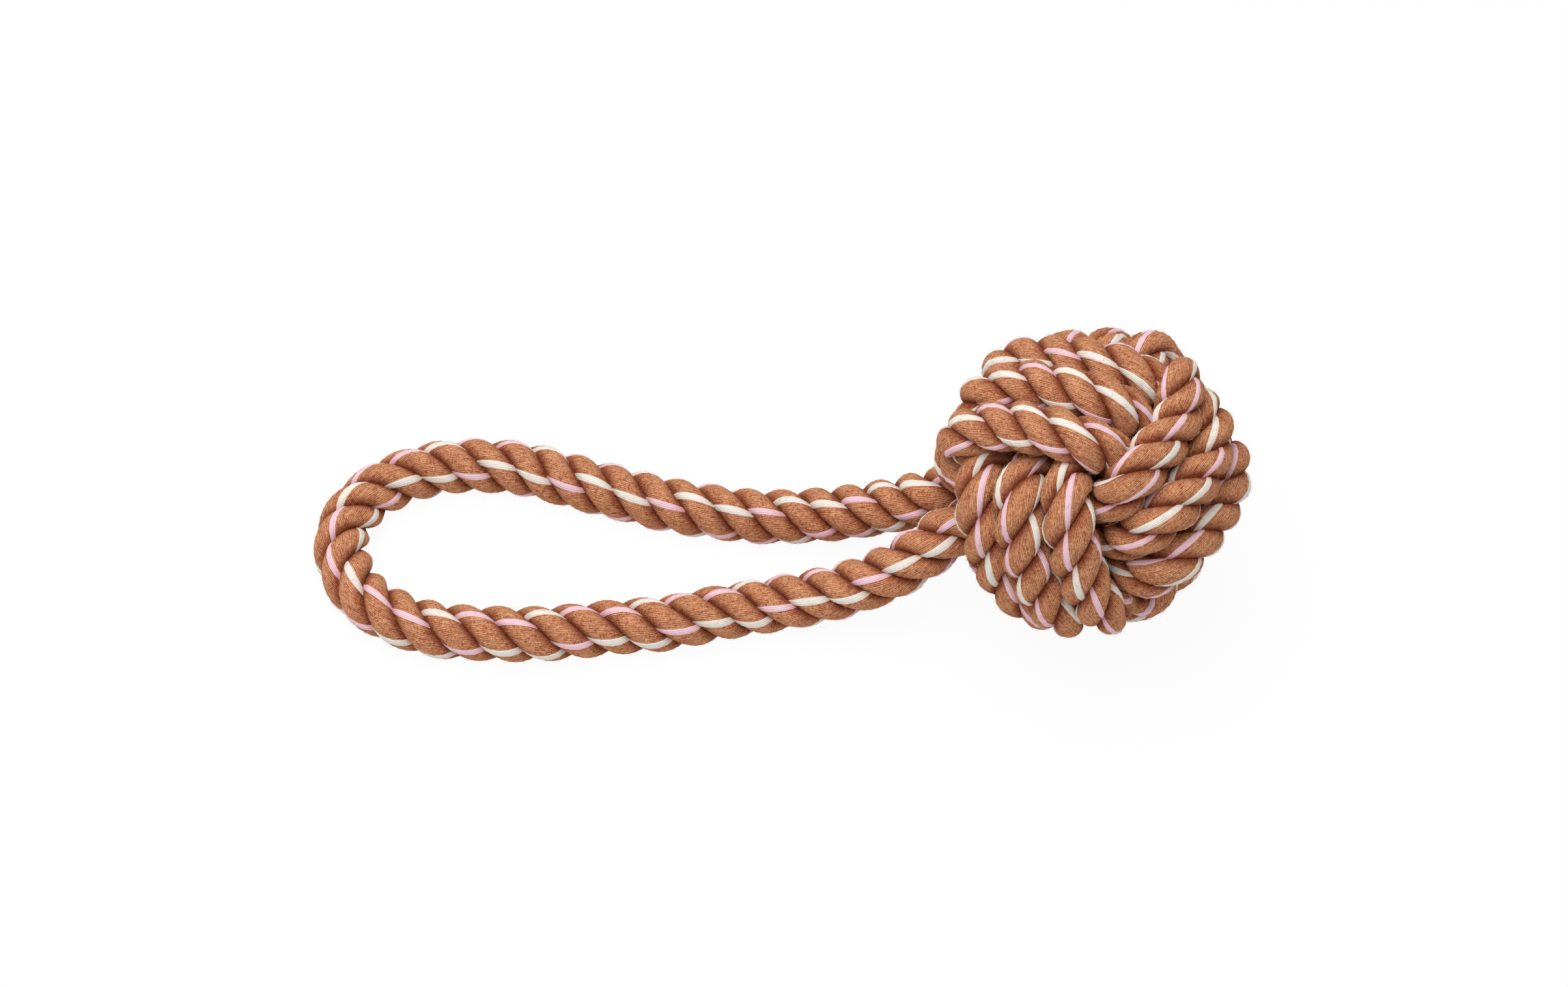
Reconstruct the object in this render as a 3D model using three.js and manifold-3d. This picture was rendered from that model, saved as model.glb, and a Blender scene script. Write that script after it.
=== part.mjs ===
// A rope dog toy: laid cotton rope tied as a ball knot, three sets of turns woven round a core,
// with a loop of the same rope standing out of the knot as a handle. Millimetres, +Z up.
import * as THREE from 'three';
import { mergeVertices } from 'three/addons/utils/BufferGeometryUtils.js';
import Module from 'manifold-3d';

// Rope
const ropeDiameter = 16.6; // lying free in the handle
const turnWidth = 14.4; // on the outside of the knot, across the rope
const turnHeight = 13; // and in towards the core
const squeezedWidth = 9.6; // where it is drawn tight under another set of turns
const squeezedHeight = 12.6;
const turnGap = 1.5; // between neighbouring turns of one set
const layerGap = 0.9; // between one set and the set that it lies over
const seatGap = 0.35; // between pieces that touch
const flatShare = 0.1; // of a rope's diameter, pressed flat where it lies on the floor

// Knot
const edgeRise = 1; // how far a set's outer turns arch clear of the layer beneath
const middleRise = 3; // how far its middle turn does
const archPower = 2.5; // superellipse power of a turn's arch
const archBulge = 6; // how much wider the arch is at its crown than at its feet
const topLean = 4.5; // how far a set's passes on its first side are drawn over towards a corner
const frontLean = 0.5;
const sideLean = 5.5;
const tuckLength = 5; // straight end of a set, hidden under the next one
const handleClearance = 0.8; // between a leg of the handle and the turns that it passes between
const legSpacing = 18.2; // between the middle lines of the two legs as they leave the knot
const legLean = 32; // degrees that the legs lean forward from straight out of the knot's side
const knotTurn = new THREE.Euler(...[46.2, 54, 121.4].map(THREE.MathUtils.degToRad), 'XYZ');

// Handle: where the rope is divided, as distances from the middle of the knot
const neckEnd = 76;
const throatEnd = 116;
const legEnd = 140;
const bendEnd = 172;

// Facets
const archSteps = 12;
const turnSides = 8;
const ropeSides = 10;
const ropeStep = 9; // length of one step along the handle
const coreSides = 24;
const coreRings = 16;

const ropeRadius = ropeDiameter / 2;
const innerPitch = squeezedWidth + turnGap;
const outerPitch = turnWidth + turnGap;
const innerReach = innerPitch + squeezedWidth / 2 + layerGap + squeezedHeight / 2;
const archHeight = squeezedHeight / 2 + layerGap + turnHeight / 2;
const layHeight = ropeRadius - flatShare * ropeDiameter;

const yarn = new THREE.MeshStandardMaterial({ color: 0xb0703f, roughness: 0.92, metalness: 0 });
const wadding = new THREE.MeshStandardMaterial({ color: 0xd8cbb4, roughness: 0.95, metalness: 0 });

// A set of turns is followed in its own directions: u along the turns' longer way, v along the
// shorter, w from turn to turn. On the two u sides a pass arches over the layer beneath it and
// fans out, and between passes the rope runs straight and squeezed along a v side, under the next
// set. A point is [u, v, w, share of the arch's height, which opens the rope's section].
function arch({ side, foot, crown, rise }) {
  const points = [];
  for (let i = 0; i <= archSteps; i += 1) {
    const angle = Math.PI * (i / archSteps - 0.5);
    const share = Math.cos(angle) ** (2 / archPower);
    const reach = innerReach + archBulge * share;
    const across = reach * Math.abs(Math.sin(angle)) ** (2 / archPower) * Math.sign(angle);
    const up = innerReach + (archHeight + rise) * share;
    points.push([side * up, side * across, THREE.MathUtils.lerp(foot, crown, share), share]);
  }
  return points;
}

// The straight run from the pass on one u side to the pass on the other. It moves over from one
// turn's place to the next between two shares of its length.
function run({ side, foot, move }, nextFoot) {
  const [moveStart, moveEnd] = move;
  const shares = [moveStart, (moveStart + moveEnd) / 2, moveEnd];
  return shares.filter((share) => share > 0 && share < 1).map((share) => {
    const moved = (share - moveStart) / (moveEnd - moveStart);
    const u = side * innerReach * (1 - 2 * share);
    return [u, side * innerReach, THREE.MathUtils.lerp(foot, nextFoot, moved), 0];
  });
}

// The middle line of a set that makes these passes one after another
function setLine(passes) {
  const first = passes[0];
  const last = passes[passes.length - 1];
  const tuck = innerReach - tuckLength;
  const points = [[first.side * tuck, -first.side * innerReach, first.foot, 0]];
  passes.forEach((pass, i) => {
    points.push(...arch(pass));
    if (i + 1 < passes.length) points.push(...run(pass, passes[i + 1].foot));
  });
  points.push([last.side * tuck, last.side * innerReach, last.foot, 0]);
  return points;
}

// A pass of the turn before the middle one (-1), the middle one (0) or the one after it (1)
function turnPass(side, turn, lean, move) {
  const rise = turn === 0 ? middleRise : edgeRise;
  return { side, foot: turn * innerPitch, crown: turn * outerPitch + lean, rise, move };
}

// Three whole turns, which move over along the run that the floor or the handle hides
const straight = [0, 1];
const moveOver = [0.13, 0.87];
function wholeTurns(lean) {
  const turns = [-1, 0, 1];
  return setLine(turns.flatMap((turn) => [
    turnPass(1, turn, lean, straight), turnPass(-1, turn, 0, moveOver),
  ]));
}

// Two and a half turns, parted on one side to let the legs of the handle out between two passes
const slotFoot = ropeRadius + handleClearance + squeezedWidth / 2;
const slotCrown = ropeRadius + handleClearance + turnWidth / 2;
const partedPass = (turn, move) => (
  { side: -1, foot: turn * slotFoot, crown: turn * slotCrown, rise: edgeRise, move }
);
const moveEarly = [0, 0.17];
const moveLate = [0.83, 1];
const moveMostlyEarly = [0, 0.6];
const moveMostlyLate = [0.4, 1];
const partedTurns = setLine([
  turnPass(1, 1, sideLean, moveLate), partedPass(1, moveMostlyEarly),
  turnPass(1, 0, sideLean, moveMostlyLate), partedPass(-1, moveEarly),
  turnPass(1, -1, sideLean, straight),
]);

// The knot's own axes are top, front and side. Each set lies over the next in that order.
const sets = [
  {
    name: 'top_turns',
    across: new THREE.Vector3(0, 1, 0),
    line: wholeTurns(topLean).map(([u, v, w, open]) => ({ point: new THREE.Vector3(u, w, v), open })),
  },
  {
    name: 'front_turns',
    across: new THREE.Vector3(0, 0, 1),
    line: wholeTurns(frontLean).map(([u, v, w, open]) => ({ point: new THREE.Vector3(v, u, w), open })),
  },
  {
    name: 'side_turns',
    across: new THREE.Vector3(1, 0, 0),
    line: partedTurns.map(([u, v, w, open]) => ({ point: new THREE.Vector3(w, v, u), open })),
  },
];

// The knot stands on its lowest turns, pressed flat by a share of the rope's diameter.
const heights = sets.flatMap(({ line }) => line.map(({ point }) => point.clone().applyEuler(knotTurn).z));
const knotHeight = turnHeight / 2 - Math.min(...heights) - flatShare * turnHeight;
const knotPlace = new THREE.Matrix4().makeRotationFromEuler(knotTurn).setPosition(0, 0, knotHeight);

// A closed tube along a set's line, in rings that are squeezed or open, with two caps
function windingGeometry({ line, across }) {
  const toCorner = 1 / Math.cos(Math.PI / turnSides);
  const vertices = [];
  const triangles = [];
  line.forEach(({ point, open }, i) => {
    const before = line[Math.max(i - 1, 0)].point;
    const after = line[Math.min(i + 1, line.length - 1)].point;
    const along = after.clone().sub(before).normalize();
    const out = along.clone().cross(across).normalize();
    const over = out.clone().cross(along);
    const halfHeight = (THREE.MathUtils.lerp(squeezedHeight, turnHeight, open) / 2) * toCorner;
    const halfWidth = (THREE.MathUtils.lerp(squeezedWidth, turnWidth, open) / 2) * toCorner;
    for (let k = 0; k < turnSides; k += 1) {
      const angle = (2 * Math.PI * (k + 0.5)) / turnSides;
      const corner = point.clone();
      corner.addScaledVector(out, halfHeight * Math.cos(angle));
      corner.addScaledVector(over, halfWidth * Math.sin(angle));
      vertices.push(...corner);
    }
  });
  for (let i = 0; i + 1 < line.length; i += 1) {
    for (let k = 0; k < turnSides; k += 1) {
      const a = i * turnSides + k;
      const b = i * turnSides + ((k + 1) % turnSides);
      triangles.push(a, a + turnSides, b, b, a + turnSides, b + turnSides);
    }
  }
  const lastRing = (line.length - 1) * turnSides;
  for (let k = 1; k + 1 < turnSides; k += 1) {
    triangles.push(0, k, k + 1, lastRing, lastRing + k + 1, lastRing + k);
  }
  const geometry = new THREE.BufferGeometry();
  geometry.setAttribute('position', new THREE.Float32BufferAttribute(vertices, 3));
  geometry.setIndex(triangles);
  return geometry;
}

// The least gap across a winding between stretches of it that aren't neighbours along it
function leastGap({ line }) {
  const fineStep = 2;
  const points = [];
  for (let i = 0; i + 1 < line.length; i += 1) {
    const [from, to] = [line[i], line[i + 1]];
    const count = Math.ceil(from.point.distanceTo(to.point) / fineStep);
    for (let k = 0; k < count; k += 1) {
      const open = THREE.MathUtils.lerp(from.open, to.open, k / count);
      const width = THREE.MathUtils.lerp(squeezedWidth, turnWidth, open);
      points.push({ point: from.point.clone().lerp(to.point, k / count), width });
    }
  }
  const apart = Math.ceil((4 * turnWidth) / fineStep);
  let least = Infinity;
  points.forEach((a, i) => {
    points.slice(i + apart).forEach((b) => {
      least = Math.min(least, a.point.distanceTo(b.point) - (a.width + b.width) / 2);
    });
  });
  return least;
}

// The handle's route, one smooth curve. Its two legs leave the knot side by side, between the side
// set's parted passes: the back one stands on the top set's squeezed turns and the front one is
// tucked in beside it. The rest is the rope as it lies, from the knot's middle.
const lean = THREE.MathUtils.degToRad(legLean);
const legOut = new THREE.Vector3(0, Math.sin(lean), -Math.cos(lean));
const legApart = new THREE.Vector3(0, Math.cos(lean), Math.sin(lean));
const legSeat = innerReach + squeezedHeight / 2 + seatGap + ropeRadius * Math.sin(lean);
const legRoot = new THREE.Vector3(0, ropeRadius, -legSeat);
function onLeg(apart, out) {
  const point = legRoot.clone().addScaledVector(legApart, apart).addScaledVector(legOut, out);
  return point.applyMatrix4(knotPlace);
}
const onFloor = (x, y, rise = 0) => new THREE.Vector3(x, y, layHeight + rise);
const handleRoute = new THREE.CatmullRomCurve3([
  onLeg(0, 0),
  onLeg(0, 5),
  onLeg(0, 14),
  onFloor(-56, 8, 15),
  onFloor(-70, 10, 8),
  onFloor(-85, 12.2, 2.5),
  onFloor(-99, 13.6),
  onFloor(-114, 15.4),
  onFloor(-128, 18.2),
  onFloor(-144, 22.8),
  onFloor(-159, 27.4),
  onFloor(-173, 31.8),
  onFloor(-188, 33),
  onFloor(-201, 32),
  onFloor(-213, 27.5),
  onFloor(-223.5, 19),
  onFloor(-228.8, 8),
  onFloor(-228, -2.8),
  onFloor(-222, -15),
  onFloor(-212, -23),
  onFloor(-198, -28.3),
  onFloor(-184, -29.6),
  onFloor(-170, -30),
  onFloor(-156, -29),
  onFloor(-142, -27.3),
  onFloor(-127, -26),
  onFloor(-113, -22.6),
  onFloor(-99, -20.3, 0.5),
  onFloor(-85, -19.6, 4),
  onFloor(-71, -19, 9.2),
  onFloor(-59, -17.6, 15.6),
  onFloor(-49.5, -14.6, 22),
  onLeg(legSpacing, 7),
  onLeg(legSpacing, 0),
], false, 'centripetal');

// The part of the route from one share of its length to another
class Stretch extends THREE.Curve {
  constructor(start, end) {
    super();
    this.start = start;
    this.end = end;
  }

  getPoint(share, target = new THREE.Vector3()) {
    return handleRoute.getPointAt(THREE.MathUtils.lerp(this.start, this.end, share), target);
  }
}

handleRoute.arcLengthDivisions = 2000;
const routeLength = handleRoute.getLength();
const halfGap = seatGap / 2 / routeLength;

// The share of the route where the back or the front leg crosses a distance from the knot
function crossing(distance, isBack) {
  let near = isBack ? 0 : 1;
  let far = 0.5;
  for (let i = 0; i < 40; i += 1) {
    const middle = (near + far) / 2;
    if (-handleRoute.getPointAt(middle).x < distance) near = middle;
    else far = middle;
  }
  return (near + far) / 2;
}

function stretchGeometry(start, end) {
  const stretch = new Stretch(start, end);
  const circumradius = ropeRadius / Math.cos(Math.PI / ropeSides);
  const corners = [];
  for (let k = 0; k < ropeSides; k += 1) {
    const angle = (2 * Math.PI * (k + 0.5)) / ropeSides;
    corners.push(new THREE.Vector2(Math.cos(angle), Math.sin(angle)).multiplyScalar(circumradius));
  }
  const steps = Math.max(3, Math.round((routeLength * (end - start)) / ropeStep));
  return new THREE.ExtrudeGeometry(new THREE.Shape(corners), {
    steps, extrudePath: stretch, bevelEnabled: false,
  });
}

// What reaches below the floor is cut away
const wasm = await Module();
wasm.setup();

function solidOf(geometry) {
  const bare = new THREE.BufferGeometry();
  bare.setAttribute('position', geometry.getAttribute('position').clone());
  if (geometry.index) bare.setIndex(geometry.index.clone());
  const merged = mergeVertices(bare, 1e-4);
  return new wasm.Manifold(new wasm.Mesh({
    numProp: 3,
    vertProperties: new Float32Array(merged.getAttribute('position').array),
    triVerts: new Uint32Array(merged.index.array),
  }));
}

function geometryOf(solid) {
  const mesh = solid.getMesh();
  const geometry = new THREE.BufferGeometry();
  geometry.setAttribute('position', new THREE.BufferAttribute(mesh.vertProperties, 3));
  geometry.setIndex(new THREE.BufferAttribute(mesh.triVerts, 1));
  return geometry;
}

const floorReach = 1000;
const floorSlab = solidOf(
  new THREE.BoxGeometry(floorReach, floorReach, floorReach).translate(0, 0, -floorReach / 2),
);

function pressedOnFloor(geometry) {
  return geometryOf(solidOf(geometry).subtract(floorSlab));
}

function addPiece(group, name, geometry, material) {
  geometry.computeVertexNormals();
  const mesh = new THREE.Mesh(geometry, material);
  mesh.name = name;
  group.add(mesh);
}

const toy = new THREE.Group();
const knot = new THREE.Group();
const handle = new THREE.Group();
toy.add(knot, handle);

const coreRadius = innerReach - squeezedHeight / 2 - seatGap;
const core = new THREE.SphereGeometry(coreRadius, coreSides, coreRings).translate(0, 0, knotHeight);
addPiece(knot, 'core_ball', core, wadding);

sets.forEach((set) => {
  const winding = windingGeometry(set).applyMatrix4(knotPlace);
  addPiece(knot, set.name, pressedOnFloor(winding), yarn);
  console.log(`${set.name}: least gap to itself ${leastGap(set).toFixed(2)} mm`);
});

const divisions = [['neck', neckEnd], ['throat', throatEnd], ['leg', legEnd], ['bend', bendEnd]];
const bightEnds = ['back', 'front'].map((where) => {
  const isBack = where === 'back';
  let from = isBack ? 0 : 1;
  divisions.forEach(([name, distance]) => {
    const to = crossing(distance, isBack);
    const inward = from === 0 || from === 1 ? 0 : halfGap;
    const [start, end] = isBack ? [from + inward, to - halfGap] : [to + halfGap, from - inward];
    addPiece(handle, `${where}_${name}`, pressedOnFloor(stretchGeometry(start, end)), yarn);
    from = to;
  });
  return from;
});
const bight = stretchGeometry(bightEnds[0] + halfGap, bightEnds[1] - halfGap);
addPiece(handle, 'handle_bight', pressedOnFloor(bight), yarn);
console.log(`handle rope: ${routeLength.toFixed(0)} mm, knot's middle ${knotHeight.toFixed(2)} mm up`);

// The origin is under the middle of the toy's box, on the floor
const box = new THREE.Box3().setFromObject(toy);
const middle = box.getCenter(new THREE.Vector3());
toy.position.set(-middle.x, -middle.y, 0);
console.log(`knot's middle at x ${(-middle.x).toFixed(2)}, y ${(-middle.y).toFixed(2)}`);

export default toy;
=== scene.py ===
import bpy
import numpy as np
from mathutils import Euler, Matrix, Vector


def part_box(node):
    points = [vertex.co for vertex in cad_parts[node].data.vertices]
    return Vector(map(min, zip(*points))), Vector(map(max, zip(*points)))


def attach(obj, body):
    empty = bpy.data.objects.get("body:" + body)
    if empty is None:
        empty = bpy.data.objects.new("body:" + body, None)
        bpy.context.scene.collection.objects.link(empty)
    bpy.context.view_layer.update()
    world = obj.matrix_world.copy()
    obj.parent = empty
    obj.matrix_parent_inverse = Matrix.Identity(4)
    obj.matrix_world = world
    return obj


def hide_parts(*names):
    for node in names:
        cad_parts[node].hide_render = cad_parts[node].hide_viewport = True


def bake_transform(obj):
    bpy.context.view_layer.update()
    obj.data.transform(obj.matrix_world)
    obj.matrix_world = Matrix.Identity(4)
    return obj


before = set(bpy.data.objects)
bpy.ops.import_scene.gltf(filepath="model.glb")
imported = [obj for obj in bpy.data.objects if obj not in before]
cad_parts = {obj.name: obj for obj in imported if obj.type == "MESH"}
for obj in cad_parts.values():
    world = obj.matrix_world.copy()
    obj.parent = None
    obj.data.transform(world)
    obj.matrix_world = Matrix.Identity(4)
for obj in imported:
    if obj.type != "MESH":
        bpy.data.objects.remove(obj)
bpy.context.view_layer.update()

# Core of the knot: a ball of cotton offcuts, rolled tight by hand and tied over with the turns,
# which hold it in. Only specks of it show, deep between them.
mm = 0.001
core_low, core_high = (np.array(corner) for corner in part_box("core_ball"))
knot_middle = (core_low + core_high) / 2
core_radius = (core_high - core_low).min() / 2
core_rows, core_columns = 40, 72
pole_angle = 0.02
wadding_lump, wadding_tuft = 0.6 * mm, 2 * mm


def linear(colour):
    """An sRGB hex colour as linear red, green and blue, with an alpha of 1."""
    parts = np.array([int(colour[i:i + 2], 16) for i in (1, 3, 5)]) / 255
    return (*np.where(parts <= 0.04045, parts / 12.92, ((parts + 0.055) / 1.055) ** 2.4), 1.0)


def add_node(tree, kind, inputs=None, **settings):
    """Adds a node with its settings, and gives each named or numbered input its value or link."""
    node = tree.nodes.new(kind)
    for name, value in settings.items():
        setattr(node, name, value)
    for name, value in (inputs or {}).items():
        if isinstance(value, bpy.types.NodeSocket):
            tree.links.new(value, node.inputs[name])
        else:
            node.inputs[name].default_value = value
    return node


def tube(name, rings, heights=None, column_materials=None, openness=None):
    """A closed mesh from an array of rings: each point is joined to the next in its ring and to
    the same point of the next ring, and each end ring to its own middle, with a sharp rim. The map
    "yarn" goes from 0 to 1 round a ring and follows heights from ring to ring, and "openness" is
    kept at each point."""
    count, sides = rings.shape[:2]
    index = np.arange(count * sides).reshape(count, sides)
    beside = np.roll(index, -1, axis=1)
    quads = np.stack([index[:-1], beside[:-1], beside[1:], index[1:]], axis=-1).reshape(-1, 4)
    first, last = count * sides, count * sides + 1
    start_cap = np.stack([np.full(sides, first), beside[0], index[0]], axis=-1)
    end_cap = np.stack([np.full(sides, last), index[-1], beside[-1]], axis=-1)
    points = np.vstack([rings.reshape(-1, 3), rings[0].mean(axis=0), rings[-1].mean(axis=0)])
    corners = np.concatenate([quads.ravel(), start_cap.ravel(), end_cap.ravel()])
    starts = np.concatenate([np.arange(len(quads)) * 4, quads.size + np.arange(2 * sides) * 3])
    mesh = bpy.data.meshes.new(name)
    mesh.vertices.add(len(points))
    mesh.vertices.foreach_set("co", points.astype(np.float32).ravel())
    mesh.loops.add(len(corners))
    mesh.loops.foreach_set("vertex_index", corners.astype(np.int32))
    mesh.polygons.add(len(starts))
    mesh.polygons.foreach_set("loop_start", starts.astype(np.int32))
    mesh.polygons.foreach_set("use_smooth", np.ones(len(starts), dtype=bool))
    if column_materials is not None:
        per_quad = np.tile(column_materials, count - 1)
        per_face = np.concatenate([per_quad, column_materials, column_materials])
        mesh.polygons.foreach_set("material_index", per_face.astype(np.int32))
    if heights is None:
        heights = np.arange(count) * mm
    here, low = np.meshgrid(np.arange(sides) / sides, heights[:-1])
    there, high = here + 1 / sides, np.tile(heights[1:, None], (1, sides))
    pairs = [(here, low), (there, low), (there, high), (here, high)]
    quad_map = np.stack([np.stack(pair, axis=-1) for pair in pairs], axis=2).reshape(-1, 2)
    cap_map = np.zeros((6 * sides, 2))
    layer = mesh.uv_layers.new(name="yarn")
    layer.data.foreach_set("uv", np.vstack([quad_map, cap_map]).astype(np.float32).ravel())
    mesh.update(calc_edges=True)
    edges = np.zeros(len(mesh.edges) * 2, dtype=np.int32)
    mesh.edges.foreach_get("vertices", edges)
    edges = edges.reshape(-1, 2)
    in_first, in_last = edges < sides, (edges >= index[-1, 0]) & (edges <= index[-1, -1])
    rim = in_first.all(axis=1) | in_last.all(axis=1)
    mesh.attributes.new("sharp_edge", "BOOLEAN", "EDGE").data.foreach_set("value", rim)
    if openness is not None:
        open_points = np.append(openness.ravel(), [0, 0]).astype(np.float32)
        mesh.attributes.new("openness", "FLOAT", "POINT").data.foreach_set("value", open_points)
    piece = bpy.data.objects.new(name, mesh)
    bpy.context.scene.collection.objects.link(piece)
    return piece


def lumpy_ball(radius, lump):
    """Rings of a sphere from pole to pole, moved in or out by three crossed sine waves."""
    down = np.linspace(pole_angle, np.pi - pole_angle, core_rows)[::-1, None]
    turn = np.linspace(0, 2 * np.pi, core_columns, endpoint=False)[None, :]
    swell = np.sin(7 * turn + 3 * down) + np.sin(11 * down - 2 * turn) + np.sin(5 * turn - 9 * down)
    size = radius - lump + lump * swell / 3
    flat = size * np.sin(down)
    return np.stack([flat * np.cos(turn), flat * np.sin(turn), size * np.cos(down)], axis=-1)


core = tube("wadding_core", lumpy_ball(core_radius, wadding_lump) + knot_middle)

# Cotton wadding is unspun fibre: dull, brown and slightly mottled, with no gloss at all. Its fibres
# are too fine to show, so the mottle is drawn as tufts of 2 mm.
wadding = bpy.data.materials.new("cotton_wadding")
wadding.use_nodes = True
tree = wadding.node_tree
place = add_node(tree, "ShaderNodeTexCoord").outputs["Object"]
tufts = add_node(
    tree, "ShaderNodeTexNoise", {"Vector": place, "Scale": 1 / wadding_tuft, "Detail": 4.0},
).outputs["Fac"]
tint = add_node(
    tree, "ShaderNodeMix", {0: tufts, 6: linear("#7E5536"), 7: linear("#A8784E")}, data_type="RGBA",
).outputs[2]
shader = tree.nodes["Principled BSDF"]
tree.links.new(tint, shader.inputs["Base Color"])
shader.inputs["Roughness"].default_value = 0.97
shader.inputs["Specular IOR Level"].default_value = 0.1
core.data.materials.append(wadding)
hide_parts("core_ball")
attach(core, "knot")

# Top set of turns: three rounds of the toy's one rope, laid right-handed from three cotton strands
# and drawn tight by hand. On the outside the rope keeps its width, and under the next set it is
# squeezed.
rope_width = 17.2 * mm
turn_width, turn_height = 16.4 * mm, 14.8 * mm
squeezed_width, squeezed_height = 12.4 * mm, 13.2 * mm
inner_pitch = 11.1 * mm
inner_reach, arch_height = 23.1 * mm, 13.7 * mm
arch_power, filling_power = 2.5, 0.45
arch_points, run_points = 61, 24
tuck_length = 5 * mm
straight, move_over = (0, 1), (0.13, 0.87)
corner_pull, corner_reach = 0.3, 17 * mm
knot_turn = np.array(Euler(np.radians([46.2, 54, 121.4]), "ZYX").to_matrix())

# A strand is about 24 mm round: 42 yarns of 0.6 mm, with a white and a pink tracer among them. The
# yarns turn back round it as it goes, about twice in a lay length.
lay_length = 33.16 * mm
half_strand_height, half_strand_width = 0.222 * rope_width, 0.23 * rope_width
strand_orbit = rope_width / 2 - half_strand_height
lay_slope = np.arctan(2 * np.pi * strand_orbit / lay_length)
yarn_turns, yarns_round = 2.068, 42
outside_share = 0.26
strand_columns = 60
white_columns, pink_columns = (0, 6), (30, 35)
tracer_proud = 0.22 * mm
groove_foot = 0.7
floor_softness = 0.7 * mm


def arch(side, foot, crown, rise, bulges, slant):
    """A pass over the layer beneath, as rows of u, v, w and fullness: a superellipse in u, out of
    its side, and v, along it. It bulges by its own length at each end, and fans from foot to crown
    in w, across it, as it rises. Its first half also slants in w. The rope's section fills out
    sooner than the pass rises."""
    angle = np.pi * (np.linspace(0, 1, arch_points) - 0.5)
    share = np.cos(angle).clip(0) ** (2 / arch_power)
    reach = inner_reach + np.where(angle < 0, bulges[0], bulges[1]) * share
    along = reach * np.sign(angle) * np.abs(np.sin(angle)) ** (2 / arch_power)
    up = inner_reach + (arch_height + rise) * share
    aside = foot + (crown - foot + np.where(angle < 0, slant * np.sin(angle) ** 2, 0)) * share
    return np.stack([side * up, side * along, aside, share ** filling_power], axis=1)


def run(side, foot, next_foot, move):
    """The straight, squeezed stretch from one pass to the next. It goes through from side to side
    and moves over from the one's foot to the other's between two shares of its length."""
    share = np.linspace(0, 1, run_points)[1:-1]
    through = side * inner_reach * (1 - 2 * share)
    level = np.full_like(share, side * inner_reach)
    aside = foot + (next_foot - foot) * ((share - move[0]) / (move[1] - move[0])).clip(0, 1)
    return np.stack([through, level, aside, 0 * share], axis=1)


def tuck(this, end):
    """The point where a set's rope goes in beneath, at its first pass's start or its last's end."""
    side = this["side"]
    return [[side * (inner_reach - tuck_length), end * side * inner_reach, this["foot"], 0]]


def set_line(passes):
    """The middle line of a set of turns: its passes, the runs between them and both tucks."""
    rows = [tuck(passes[0], -1)]
    for this, following in zip(passes, passes[1:] + [None]):
        rows.append(arch(**{key: value for key, value in this.items() if key != "move"}))
        if following:
            rows.append(run(this["side"], this["foot"], following["foot"], this["move"]))
    return np.vstack(rows + [tuck(passes[-1], 1)])


def turn_pass(side, turn, crown, rise, bulges, slant=0, move=straight):
    """One pass of the turn before the middle one (-1), the middle one (0) or the one after it (1),
    from its crown's place, its rise, its bulges at both ends and its slant in millimetres."""
    start_bulge, end_bulge = bulges
    return dict(
        side=side, foot=turn * inner_pitch, crown=crown * mm, rise=rise * mm,
        bulges=(start_bulge * mm, end_bulge * mm), slant=slant * mm, move=move,
    )


def drawn_together(points):
    """The points of a set, in the knot's own axes, drawn towards the eight corners where three sets
    meet: each is moved towards a corner's line by a share that falls off as a bell with the
    distance from it, and keeps its distance from the knot's middle."""
    moved = points.copy()
    for corner in np.array(np.meshgrid([-1, 1], [-1, 1], [-1, 1])).reshape(3, -1).T / np.sqrt(3):
        along = points @ corner
        aside = points - along[:, None] * corner
        near = np.exp(-(aside ** 2).sum(axis=1) / corner_reach ** 2)
        moved -= corner_pull * (near * (along / inner_reach).clip(0, 1))[:, None] * aside
    return moved * (np.linalg.norm(points, axis=1) / np.linalg.norm(moved, axis=1))[:, None]


def even_steps(rows, step, softness=0):
    """The same line in even steps along its length, its corners rounded by a bell-shaped mean that
    reaches three times its softness to each side."""
    gaps = np.linalg.norm(np.diff(rows[:, :3], axis=0), axis=1)
    length = np.concatenate([[0], np.cumsum(gaps)])
    even = np.linspace(0, length[-1], int(length[-1] / step) + 1)
    line = np.stack([np.interp(even, length, column) for column in rows.T], axis=1)
    if softness:
        half = int(3 * softness / step)
        bell = np.exp(-0.5 * (np.arange(-half, half + 1) * step / softness) ** 2)
        bell /= bell.sum()
        padded = np.pad(line, ((half, half), (0, 0)), mode="reflect", reflect_type="odd")
        line = np.stack([np.convolve(column, bell, "valid") for column in padded.T], axis=1)
    return line


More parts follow.
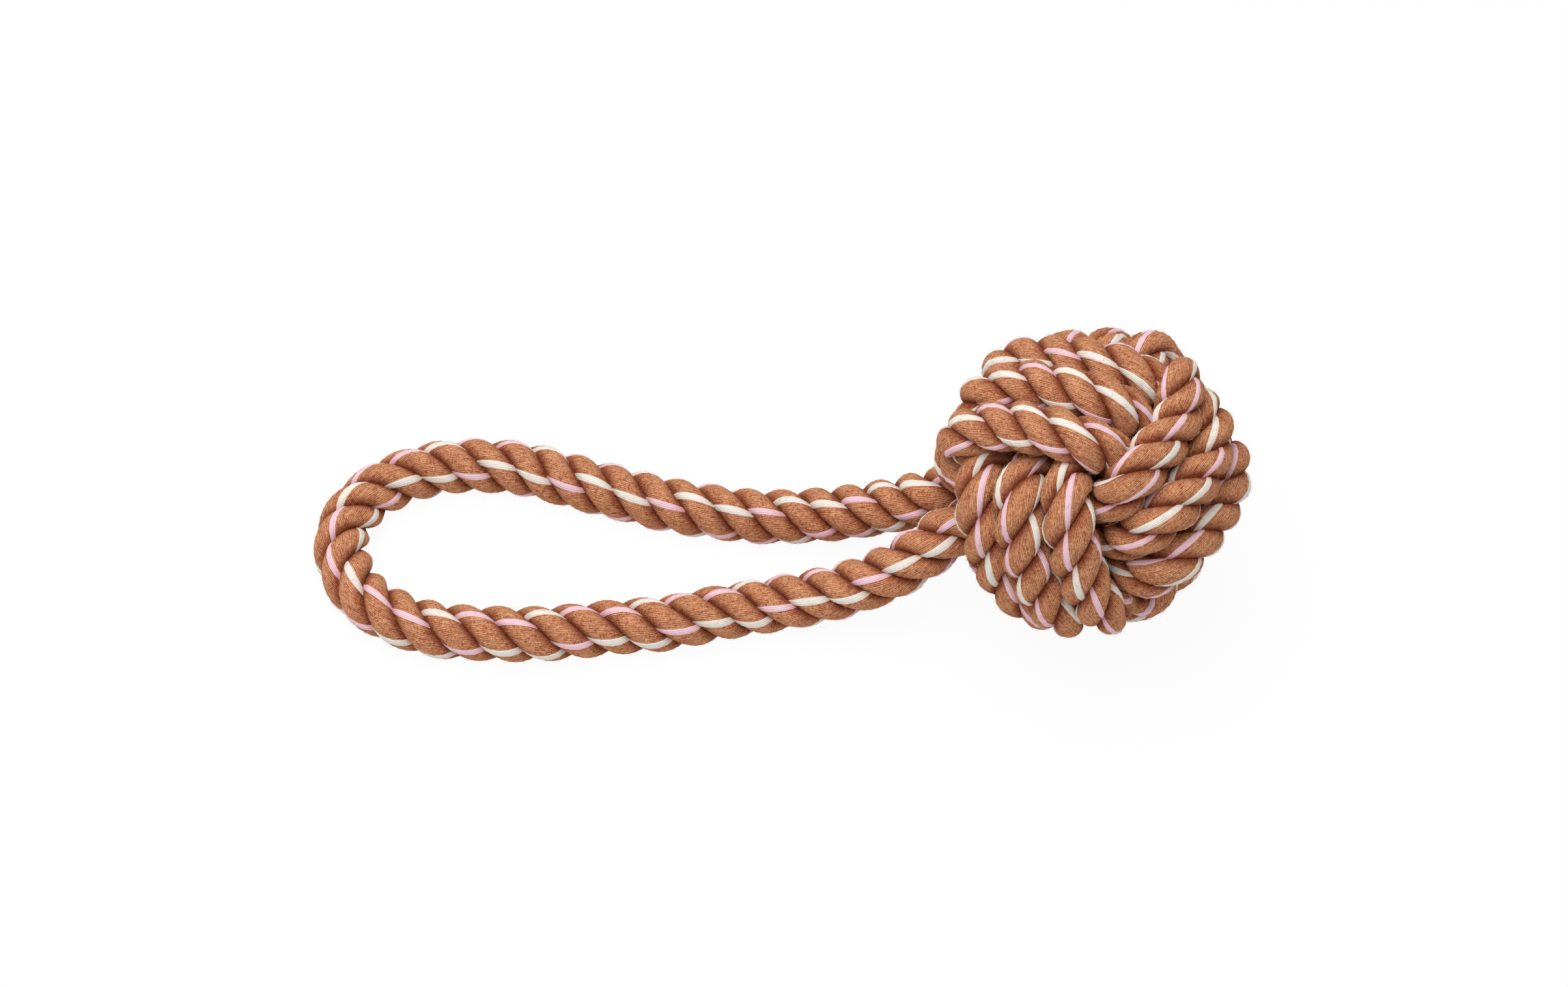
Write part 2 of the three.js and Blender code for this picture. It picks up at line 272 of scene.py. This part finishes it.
def rope_strand(line, out, wide, high, strand, lay_start, tracer_start):
    """One strand's surface along the rope's middle line. The strand's middle goes round the rope
    once in a lay length, and its section, square to the strand, is an ellipse. So a ring's points
    lie a little before or behind its middle along the rope. The columns follow the yarns: they turn
    back round the strand as it goes, a little faster on the rope's outside, so that there they run
    along it. Openness goes from 0 in the rope's grooves to 1 on its outside."""
    along = np.gradient(line, axis=0)
    step = np.linalg.norm(along, axis=1)
    distance = np.cumsum(step) - step[0]
    along /= step[:, None]
    out = out - (out * along).sum(axis=1, keepdims=True) * along
    out /= np.linalg.norm(out, axis=1, keepdims=True)
    over = np.cross(along, out)
    orbit = 2 * np.pi * (distance / lay_length + strand / 3)[:, None]
    orbit = orbit + np.reshape(lay_start, (-1, 1))
    column = np.arange(strand_columns)
    proud = np.zeros(strand_columns)
    for start, end in (white_columns, pink_columns):
        proud += np.where((column > start) & (column < end), tracer_proud, 0)
    spin = 2 * np.pi * (column / strand_columns - yarn_turns * distance[:, None] / lay_length)
    spin += np.reshape(tracer_start, (-1, 1))
    spin += outside_share * np.sin(spin)
    radial = strand_orbit + (half_strand_height + proud) * np.cos(spin)
    sideways = (half_strand_width + proud) * np.sin(spin)
    turned_out = radial * np.cos(orbit) - sideways * np.cos(lay_slope) * np.sin(orbit)
    turned_over = radial * np.sin(orbit) + sideways * np.cos(lay_slope) * np.cos(orbit)
    place = distance[:, None] - sideways * np.sin(lay_slope)
    outward = np.hypot(turned_out, turned_over) / (rope_width / 2)
    # Openness also sets where the yarns' painted groove shade falls.
    openness = ((outward - groove_foot) / (1 - groove_foot)).clip(0, 1)
    before, after = (place - distance[0]).clip(max=0), (place - distance[-1]).clip(min=0)

    def at_place(values):
        """The values along the rope at each point's own place, carried on past its ends."""
        slope = np.diff(values) / np.diff(distance)
        return np.interp(place, distance, values) + before * slope[0] + after * slope[-1]

    turned_out *= at_place(high) / rope_width
    turned_over *= at_place(wide) / rope_width
    rings = np.stack([
        at_place(line[:, i]) + turned_out * at_place(out[:, i]) + turned_over * at_place(over[:, i])
        for i in range(3)
    ], axis=-1)
    rings[..., 2] = (rings[..., 2] + np.sqrt(rings[..., 2] ** 2 + floor_softness ** 2)) / 2
    return rings, distance, openness


# Spun cotton yarn is dull and slightly fuzzy: fine round ridges with darker lines between them,
# painted shade where the yarns shade each other, each yarn lighter and darker along its length
# under a felt of short fibres, and a faint sheen from them at the edges. The fibres are too fine
# to show, so their felt is drawn as grains of 0.7 mm.
streak_yarns, streak_length = 2 / 3, 2 * mm
yarn_ridge = 0.12 * mm
fuzz_grain = 0.7 * mm
streak_tone, fuzz_tone = 1.5, 2.8
fuzz_height = 1.2


def cotton_yarn(name, light, dark, groove_shade, ridge_tone, felt, relief):
    """Spun yarns side by side across the map's first direction, along its second. A tone between
    the dark and the light colour comes from the yarns' ridges, as painted shade in the lines
    between the yarns, from streaks along them and from the fuzz. Towards the rope's grooves the
    colour is multiplied by the groove shade colour, a painted shade where the strands shade each
    other. Felt is the share of the streaks and the fuzz that shows in the tone, and relief the
    share of the ridges and the fuzz that shows in the bump."""
    material = bpy.data.materials.new(name)
    material.use_nodes = True
    tree = material.node_tree
    place = add_node(tree, "ShaderNodeUVMap", uv_map="yarn").outputs["UV"]
    across = add_node(tree, "ShaderNodeSeparateXYZ", {"Vector": place}).outputs["X"]
    angle = add_node(
        tree, "ShaderNodeMath", {0: across, 1: 2 * np.pi * yarns_round}, operation="MULTIPLY",
    ).outputs[0]
    wave = add_node(tree, "ShaderNodeMath", {0: angle}, operation="COSINE").outputs[0]
    ridge = add_node(
        tree, "ShaderNodeMath", {0: wave, 1: -0.5, 2: 0.5}, operation="MULTIPLY_ADD",
    ).outputs[0]
    spot = add_node(
        tree, "ShaderNodeMapping",
        {"Vector": place, "Scale": (yarns_round / streak_yarns, 1 / streak_length, 1)},
    ).outputs[0]
    streaks = add_node(
        tree, "ShaderNodeTexNoise", {"Vector": spot, "Scale": 1.0, "Detail": 2.0},
    ).outputs["Fac"]
    solid = add_node(tree, "ShaderNodeTexCoord").outputs["Object"]
    fuzz = add_node(tree, "ShaderNodeTexNoise", {
        "Vector": solid, "Scale": 1 / fuzz_grain,
        "Detail": 3.0, "Roughness": 0.6, "Distortion": 1.5,
    }).outputs["Fac"]
    # Painted shade: the ridges' share of the tone darkens the lines between the yarns and lightens
    # their crests.
    tone = 0.5 - (ridge_tone + felt * (streak_tone + fuzz_tone)) / 2
    shares = (ridge, ridge_tone), (streaks, felt * streak_tone), (fuzz, felt * fuzz_tone)
    for part, share in shares:
        tone = add_node(
            tree, "ShaderNodeMath", {0: part, 1: share, 2: tone}, operation="MULTIPLY_ADD",
        ).outputs[0]
    tint = add_node(
        tree, "ShaderNodeMix", {0: tone, 6: linear(dark), 7: linear(light)}, data_type="RGBA",
    ).outputs[2]
    # Painted shade: towards the rope's grooves, where openness falls, the colour is multiplied down
    # by the groove shade colour.
    openness = add_node(tree, "ShaderNodeAttribute", attribute_name="openness").outputs["Fac"]
    open_share = add_node(
        tree, "ShaderNodeMapRange", {"Value": openness}, interpolation_type="SMOOTHSTEP",
    ).outputs[0]
    shade = add_node(
        tree, "ShaderNodeMix", {0: open_share, 6: linear(groove_shade), 7: (1, 1, 1, 1)},
        data_type="RGBA",
    ).outputs[2]
    tint = add_node(
        tree, "ShaderNodeMix", {0: 1.0, 6: tint, 7: shade}, data_type="RGBA", blend_type="MULTIPLY",
    ).outputs[2]
    height = add_node(
        tree, "ShaderNodeMath", {0: fuzz, 1: fuzz_height, 2: ridge}, operation="MULTIPLY_ADD",
    ).outputs[0]
    bump = add_node(
        tree, "ShaderNodeBump", {"Height": height, "Distance": yarn_ridge, "Strength": relief},
    ).outputs["Normal"]
    shader = tree.nodes["Principled BSDF"]
    tree.links.new(tint, shader.inputs["Base Color"])
    tree.links.new(bump, shader.inputs["Normal"])
    shader.inputs["Roughness"].default_value = 0.95
    shader.inputs["Specular IOR Level"].default_value = 0.12
    shader.inputs["Sheen Weight"].default_value = 0.12
    shader.inputs["Sheen Roughness"].default_value = 0.6
    shader.inputs["Sheen Tint"].default_value = linear(light)
    return material


# The groove shade colours are painted shade, laid on towards the rope's grooves.
brown_yarn = cotton_yarn(
    "brown_cotton_yarn", light="#E8AB7E", dark="#8E4128", groove_shade="#AD8176",
    ridge_tone=0.46, felt=1.0, relief=1.0,
)
white_yarn = cotton_yarn(
    "white_cotton_yarn", light="#F2EDE5", dark="#DED7CE", groove_shade="#EADDD4",
    ridge_tone=0.8, felt=0.4, relief=0.6,
)
pink_yarn = cotton_yarn(
    "pink_cotton_yarn", light="#F3D3DD", dark="#E2B8C6", groove_shade="#E5CBC8",
    ridge_tone=0.8, felt=0.4, relief=0.6,
)
column_yarns = np.zeros(strand_columns, dtype=int)
column_yarns[slice(*white_columns)] = 1
column_yarns[slice(*pink_columns)] = 2

# Loose cotton fibre is a single hair, paler than the yarn that it comes from, for light shines
# through it. A real one is about 0.02 mm thick, too fine to show, so it is drawn at 0.08 mm.
stray_width, stray_taper = 0.08 * mm, 0.6
shortest_stray, longest_stray = 0.7 * mm, 3.6 * mm
stray_lift, stray_root = 0.5 * mm, 0.1 * mm
stray_rings, stray_bend = 5, 0.9
strays_per_ring = 2
stray_openness, stray_clearance = 0.72, 0.7 * mm
knot_outside = 38 * mm
fibre_patch = 4 * mm
chance = np.random.default_rng(7)
stray_fibre = bpy.data.materials.new("loose_cotton_fibre")
stray_fibre.use_nodes = True
tree = stray_fibre.node_tree
place = add_node(tree, "ShaderNodeTexCoord").outputs["Object"]
patches = add_node(
    tree, "ShaderNodeTexNoise", {"Vector": place, "Scale": 1 / fibre_patch, "Detail": 1.0},
).outputs["Fac"]
tint = add_node(
    tree, "ShaderNodeMix", {0: patches, 6: linear("#B57D4E"), 7: linear("#E9C79E")},
    data_type="RGBA",
).outputs[2]
shader = tree.nodes["Principled BSDF"]
tree.links.new(tint, shader.inputs["Base Color"])
shader.inputs["Roughness"].default_value = 0.8
shader.inputs["Specular IOR Level"].default_value = 0.2


def stray_fibres(name, surfaces):
    """Short hairs on the rope's outside. A hair starts at a random point of a strand and leans
    along the surface by its length times the share u of the way to its tip. It lifts off it by a
    height times twice u less u squared, and bends aside by its length times u squared. Its section
    is a triangle that tapers to the tip. Most hairs are short, and none goes into the floor."""
    roots, normals, leans = [], [], []
    for rings, openness in surfaces:
        along = np.gradient(rings, axis=0)
        around = np.roll(rings, -1, axis=1) - np.roll(rings, 1, axis=1)
        normal = np.cross(around, along)
        outside = np.linalg.norm(rings - knot_middle, axis=-1) > knot_outside
        free = (openness > stray_openness) & outside & (rings[..., 2] > stray_clearance)
        picked = chance.choice(np.flatnonzero(free), len(rings) * strays_per_ring)
        roots.append(rings.reshape(-1, 3)[picked])
        normals.append(normal.reshape(-1, 3)[picked])
        leans.append(chance.normal(size=(len(picked), 3)))
    roots, normals, leans = (np.vstack(parts) for parts in (roots, normals, leans))
    normals /= np.linalg.norm(normals, axis=1, keepdims=True)
    leans -= (leans * normals).sum(axis=1, keepdims=True) * normals
    leans /= np.linalg.norm(leans, axis=1, keepdims=True)
    beside = np.cross(normals, leans)
    count = len(roots)
    length = chance.random((count, 1, 1)) ** 2
    length = shortest_stray + (longest_stray - shortest_stray) * length
    lift = chance.uniform(0, stray_lift, size=(count, 1, 1))
    bend = chance.uniform(-stray_bend, stray_bend, size=(count, 1, 1))
    u = np.linspace(0, 1, stray_rings)[None, :, None]
    middle = roots[:, None] - stray_root * normals[:, None] + length * u * leans[:, None]
    middle = middle + lift * (2 * u - u ** 2) * normals[:, None]
    middle = middle + bend * length * u ** 2 * beside[:, None]
    middle[..., 2] = middle[..., 2].clip(min=stray_width)
    turn = (2 * np.pi * np.arange(3) / 3)[:, None]
    ring = np.cos(turn) * beside[:, None, None] + np.sin(turn) * normals[:, None, None]
    points = middle[:, :, None] + stray_width / 2 * (1 - stray_taper * u[..., None]) * ring
    index = np.arange(count * stray_rings * 3).reshape(count, stray_rings, 3)
    after = np.roll(index, -1, axis=2)
    walls = np.stack([index[:, :-1], after[:, :-1], after[:, 1:], index[:, 1:]], axis=-1)
    ends = np.vstack([index[:, 0, ::-1], index[:, -1]])
    faces = walls.reshape(-1, 4).tolist() + ends.tolist()
    mesh = bpy.data.meshes.new(name)
    mesh.from_pydata(points.reshape(-1, 3).tolist(), [], faces)
    mesh.materials.append(stray_fibre)
    piece = bpy.data.objects.new(name, mesh)
    bpy.context.scene.collection.objects.link(piece)
    return piece


def lay_rope(name, line, out, wide, high, lay_start, tracer_starts, keep=slice(None)):
    """The rope's three strands along a line, each a piece of its own, or the kept stretch of them,
    and the loose fibres that stand off them."""
    strands, surfaces = [], []
    for strand, tracer_start in enumerate(tracer_starts):
        surface = rope_strand(line, out, wide, high, strand, lay_start, tracer_start)
        rings, distance, openness = (values[keep] for values in surface)
        piece = tube(f"{name}_strand_{strand + 1}", rings, distance, column_yarns, openness)
        for yarn in (brown_yarn, white_yarn, pink_yarn):
            piece.data.materials.append(yarn)
        strands.append(piece)
        surfaces.append((rings, openness))
    strands.append(stray_fibres(f"{name}_fibres", surfaces))
    return strands


# The three passes of a set's first side come at these places along its line. The white tracer of
# each strand starts at its own angle round the strand, in radians.
knot_step, knot_softness = 1.25 * mm, 3.2 * mm
pass_places = np.array([45, 275, 500]) * mm
rope_tracers = (-0.823, -1.06, 0.27)


def wind(name, rows, order, across, lay_turns, tracer_turns):
    """A set of turns in place: its u, v and w go to the knot's top, front and side axes in this
    order. As the rope is worked round it twists a little, so its lay and its tracers are turned by
    their own degrees at each of its three passes on the first side."""
    line = even_steps(rows, knot_step, knot_softness)
    fullness = line[:, 3].clip(0, 1)
    path = drawn_together(line[:, order]) @ knot_turn.T + knot_middle
    along = np.gradient(path, axis=0)
    out = np.cross(along, knot_turn @ np.array(across, dtype=float))
    walked = np.cumsum(np.linalg.norm(along, axis=1))
    lay_start = np.interp(walked, pass_places, np.radians(lay_turns))
    tracer_turn = np.interp(walked, pass_places, np.radians(tracer_turns))
    wide = squeezed_width + (turn_width - squeezed_width) * fullness
    high = squeezed_height + (turn_height - squeezed_height) * fullness
    tracer_starts = [tracer + tracer_turn for tracer in rope_tracers]
    for piece in lay_rope(name, path, out, wide, high, lay_start, tracer_starts):
        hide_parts(name)
        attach(piece, "knot")


top_rows = set_line([
    turn_pass(1, -1, -11.4, -1, (12, 3.5), slant=9),
    turn_pass(-1, -1, -18.9, 1, (1, 4), move=move_over),
    turn_pass(1, 0, 4.5, 3, (7.5, 3.5), slant=10),
    turn_pass(-1, 0, -3, 2, (3, 4), move=move_over),
    turn_pass(1, 1, 20.4, 1, (5.5, 3.5), slant=10),
    turn_pass(-1, 1, 12.9, -2, (4, 4)),
])
wind("top_turns", top_rows, [0, 2, 1], (0, 1, 0), (150, 160, 230), (350, 440, 470))

# Front set of turns: the same rope carried on round the knot, over the side set and under the top
# set. Its passes draw together towards the foot of the ball, the first one most.
front_rows = set_line([
    turn_pass(1, -1, -12.4, 1, (8.5, 6), slant=22),
    turn_pass(-1, -1, -17.9, 1, (5, 4), move=move_over),
    turn_pass(1, 0, 1.4, 3, (8.8, 6), slant=6),
    turn_pass(-1, 0, -5, 3, (5.5, 4), move=move_over),
    turn_pass(1, 1, 16.4, 1, (5.2, 6), slant=2),
    turn_pass(-1, 1, 10, 1, (11.5, 4)),
])
wind("front_turns", front_rows, [1, 0, 2], (0, 0, 1), (80, 110, 90), (290, 340, 260))

# Side set of turns: two and a half rounds, over the top set and under the front set. Where the
# handle leaves the knot its passes are parted, and the two legs of the handle come out between
# them.
parted_rise, parted_bulges = -2.5 * mm, (2 * mm, 2 * mm)
slot_foot, slot_crown = (rope_width + squeezed_width) / 2, (rope_width + turn_width) / 2


def parted_pass(turn, move):
    """A pass on the handle's side, one side of its legs or the other."""
    return dict(
        side=-1, foot=turn * slot_foot, crown=turn * slot_crown, rise=parted_rise,
        bulges=parted_bulges, slant=0, move=move,
    )


side_rows = set_line([
    turn_pass(1, 1, 21.5, -2.5, (-4, 6), slant=21, move=(0.83, 1)),
    parted_pass(1, (0, 0.6)),
    turn_pass(1, 0, 7.5, 3.5, (0.5, 6), slant=17, move=(0.4, 1)),
    parted_pass(-1, (0, 0.17)),
    turn_pass(1, -1, -8, 3.2, (6, 7.5), slant=13),
])
wind("side_turns", side_rows, [2, 1, 0], (1, 0, 0), (390, 230, 220), (400, 340, 420))

# Handle: both ends of the rope's last loop leave the knot side by side, come down to the floor and
# lie there as an open loop. It is the same rope lying free, full and round, pressed a little flat
# beneath.
lay_height = 6.64 * mm
leg_spacing = 18.2 * mm
leg_lean = np.radians(32)
leg_out = np.array([0, np.sin(leg_lean), -np.cos(leg_lean)])
leg_apart = np.array([0, np.cos(leg_lean), np.sin(leg_lean)])
leg_radius, leg_seat = 8.3 * mm, 29.75 * mm
leg_root = np.array([0, leg_radius, -leg_seat - leg_radius * np.sin(leg_lean)])
neck_end, leg_end = 76 * mm, 140 * mm


def on_leg(apart, out):
    """A point of a leg inside the knot, by its place across the two legs and out along them."""
    return knot_turn @ (leg_root + apart * leg_apart + out * mm * leg_out) + knot_middle


def on_floor(x, y, rise=0.0):
    """A point of the handle beyond the knot, from the knot's middle, and its rise off the floor."""
    return np.array([knot_middle[0] + x * mm, knot_middle[1] + y * mm, lay_height + rise * mm])


handle_points = np.array([
    on_leg(0, 0), on_leg(0, 5), on_leg(0, 14),
    on_floor(-56, 8, 15), on_floor(-70, 10, 8), on_floor(-85, 12.2, 2.5), on_floor(-99, 13.6),
    on_floor(-114, 15.4), on_floor(-128, 18.2), on_floor(-144, 22.8), on_floor(-159, 27.4),
    on_floor(-173, 31.8), on_floor(-188, 33), on_floor(-201, 32), on_floor(-213, 27.5),
    on_floor(-223.5, 19), on_floor(-228.8, 8), on_floor(-228, -2.8), on_floor(-222, -15),
    on_floor(-212, -23), on_floor(-198, -28.3), on_floor(-184, -29.6), on_floor(-170, -30),
    on_floor(-156, -29), on_floor(-142, -27.3), on_floor(-127, -26), on_floor(-113, -22.6),
    on_floor(-99, -20.3, 0.5), on_floor(-85, -19.6, 4), on_floor(-71, -19, 9.2),
    on_floor(-59, -17.6, 15.6), on_floor(-49.5, -14.6, 22),
    on_leg(leg_spacing, 7), on_leg(leg_spacing, 0),
])


def smooth_route(points, steps=24):
    """One smooth curve through the points: on each span a cubic, whose slopes come from the
    neighbours' places, weighted by the square roots of the spans' lengths."""
    ends = np.vstack([2 * points[0] - points[1], points, 2 * points[-1] - points[-2]])
    gap = np.sqrt(np.linalg.norm(np.diff(ends, axis=0), axis=1))[:, None]
    before, here, after = gap[:-2], gap[1:-1], gap[2:]
    p0, p1, p2, p3 = ends[:-3], ends[1:-2], ends[2:-1], ends[3:]
    slope_1 = ((p1 - p0) / before - (p2 - p0) / (before + here) + (p2 - p1) / here) * here
    slope_2 = ((p2 - p1) / here - (p3 - p1) / (here + after) + (p3 - p2) / after) * here
    t = np.linspace(0, 1, steps, endpoint=False)[None, :, None]
    curve = (
        (2 * t ** 3 - 3 * t ** 2 + 1) * p1[:, None] + (t ** 3 - 2 * t ** 2 + t) * slope_1[:, None]
        + (3 * t ** 2 - 2 * t ** 3) * p2[:, None] + (t ** 3 - t ** 2) * slope_2[:, None]
    )
    return np.vstack([curve.reshape(-1, 3), points[-1]])


handle_step = 1.2 * mm
handle_line = even_steps(smooth_route(handle_points), handle_step)
out_of_knot = knot_middle[0] - handle_line[:, 0]
is_back = np.arange(len(handle_line)) <= np.argmax(out_of_knot)
back_neck_end = np.flatnonzero(is_back & (out_of_knot < neck_end)).max()
back_leg_end = np.flatnonzero(is_back & (out_of_knot < leg_end)).max()
front_leg_end = np.flatnonzero(~is_back & (out_of_knot < leg_end)).min()
front_neck_end = np.flatnonzero(~is_back & (out_of_knot < neck_end)).min()
full = np.full(len(handle_line), rope_width)
upright = np.tile([0.0, 0.0, 1.0], (len(handle_line), 1))
handle_lay_start = -1.256  # radians


def handle_stretch(name, first, last):
    """The stretch of the handle's rope between two steps along it."""
    keep = slice(first, last + 1)
    return lay_rope(name, handle_line, upright, full, full, handle_lay_start, rope_tracers, keep)


back_neck = handle_stretch("back_neck", 0, back_neck_end)
front_neck = handle_stretch("front_neck", front_neck_end, len(handle_line) - 1)
for piece in back_neck:
    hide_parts("back_neck")
for piece in front_neck:
    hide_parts("front_neck")
for piece in back_neck + front_neck:
    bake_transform(piece)

back_leg = handle_stretch("back_leg", back_neck_end, back_leg_end)
front_leg = handle_stretch("front_leg", front_leg_end, front_neck_end)
for piece in back_leg:
    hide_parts("back_throat", "back_leg")
for piece in front_leg:
    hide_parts("front_throat", "front_leg")
for piece in back_leg + front_leg:
    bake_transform(piece)

bight = handle_stretch("handle_bight", back_leg_end, front_leg_end)
for piece in bight:
    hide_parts("back_bend", "handle_bight", "front_bend")
    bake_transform(piece)

# Floor and light: a white sweep under broad soft light from above, as in a studio with a large
# softbox. The floor shows the camera white and keeps a faint shadow under the toy.
floor_reach = 6.0
floor_glow = 0.95
floor_mesh = bpy.data.meshes.new("floor")
floor_sides = np.array([(-1, -1, 0), (1, -1, 0), (1, 1, 0), (-1, 1, 0)]) * floor_reach
floor_mesh.from_pydata(floor_sides.tolist(), [], [(0, 1, 2, 3)])
floor = bpy.data.objects.new("floor", floor_mesh)
bpy.context.scene.collection.objects.link(floor)

# Matt white paper has no gloss. The camera, and what mirrors or lets through, see it lit evenly.
paper = bpy.data.materials.new("white_paper")
paper.use_nodes = True
tree = paper.node_tree
shader = tree.nodes["Principled BSDF"]
shader.inputs["Base Color"].default_value = linear("#F4F4F4")
shader.inputs["Roughness"].default_value = 0.9
shader.inputs["Specular IOR Level"].default_value = 0.0
glow = add_node(tree, "ShaderNodeEmission", {"Color": (1, 1, 1, 1), "Strength": 1.0}).outputs[0]
rays = add_node(tree, "ShaderNodeLightPath").outputs
seen = rays["Is Camera Ray"]
for ray in ("Is Glossy Ray", "Is Transmission Ray"):
    seen = add_node(
        tree, "ShaderNodeMath", {0: seen, 1: rays[ray]}, operation="MAXIMUM",
    ).outputs[0]
share = add_node(
    tree, "ShaderNodeMath", {0: seen, 1: floor_glow}, operation="MULTIPLY",
).outputs[0]
mixed = add_node(tree, "ShaderNodeMixShader", {0: share, 1: shader.outputs[0], 2: glow}).outputs[0]
tree.links.new(mixed, tree.nodes["Material Output"].inputs["Surface"])
floor_mesh.materials.append(paper)

world = bpy.data.worlds.new("studio")
bpy.context.scene.world = world
world.use_nodes = True
background = world.node_tree.nodes["Background"]
background.inputs["Color"].default_value = (1, 1, 1, 1)
background.inputs["Strength"].default_value = 0.43

softbox = bpy.data.lights.new("softbox", "AREA")
softbox.shape = "RECTANGLE"
softbox.size, softbox.size_y = 1.4, 1.0
softbox.energy = 22
softbox_stand = bpy.data.objects.new("softbox", softbox)
softbox_stand.location = (-0.25, 0.05, 1.5)
softbox_aim = Vector((0, 0, 0.03)) - softbox_stand.location
softbox_stand.rotation_euler = softbox_aim.to_track_quat("-Z", "Y").to_euler()
bpy.context.scene.collection.objects.link(softbox_stand)
bpy.context.scene.view_settings.view_transform = "Standard"

# Camera: the photograph's view, along +Y from 55 degrees above the floor and 1.1 m away, with a
# long lens of about 82 mm on a sensor 36 mm wide.
photo_width = 2408
focal_pixels = 5456
camera_target = np.array([3.1, 14.4, 18.2]) * mm
camera_distance = 1.1
camera_height = np.radians(55)
sight = np.array([0, np.cos(camera_height), -np.sin(camera_height)])
camera_data = bpy.data.cameras.new("camera")
camera_data.sensor_width = 36
camera_data.lens = camera_data.sensor_width * focal_pixels / photo_width
camera = bpy.data.objects.new("camera", camera_data)
camera.location = camera_target - camera_distance * sight
camera.rotation_euler = (np.pi / 2 - camera_height, 0, 0)
bpy.context.scene.collection.objects.link(camera)
bpy.context.scene.camera = camera
